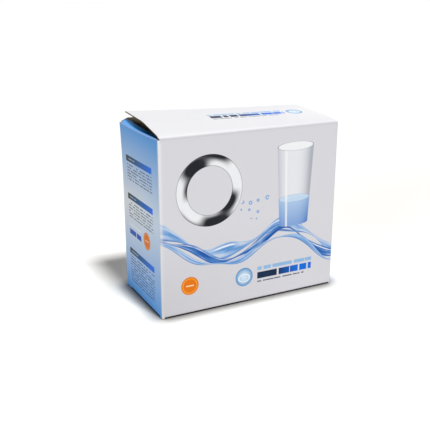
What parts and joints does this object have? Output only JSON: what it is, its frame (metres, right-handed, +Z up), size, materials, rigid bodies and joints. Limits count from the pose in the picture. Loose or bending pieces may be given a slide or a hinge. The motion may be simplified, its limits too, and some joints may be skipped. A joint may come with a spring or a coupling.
{
  "type": "folding carton",
  "caption": "Upright printed retail carton of fine corrugated board, with a hinged tuck-in lid sprung ajar and a hook-together bottom.",
  "frame": {"origin": "middle of the base, on the plane that the carton stands on", "axes": "+X to the right along the wide front panel, +Y from the front panel to the back panel, +Z up"},
  "size_m": [0.1817, 0.09, 0.171],
  "materials": {
    "printed_board": "satin-coated printed liner outside, plain grey-brown liner inside",
    "lid_board": "satin-coated printed liner outside, plain grey-brown liner inside"
  },
  "bodies": {
    "carton": {"carton": "printed_board"},
    "lid": {"lid": "lid_board"}
  },
  "joints": [
    {"name": "lid_fold", "type": "hinge", "parent": "carton", "child": "lid", "pos_m": [0, -0.045, 0.162], "axis": [1, 0, 0], "range_deg": [0, 200]}
  ]
}
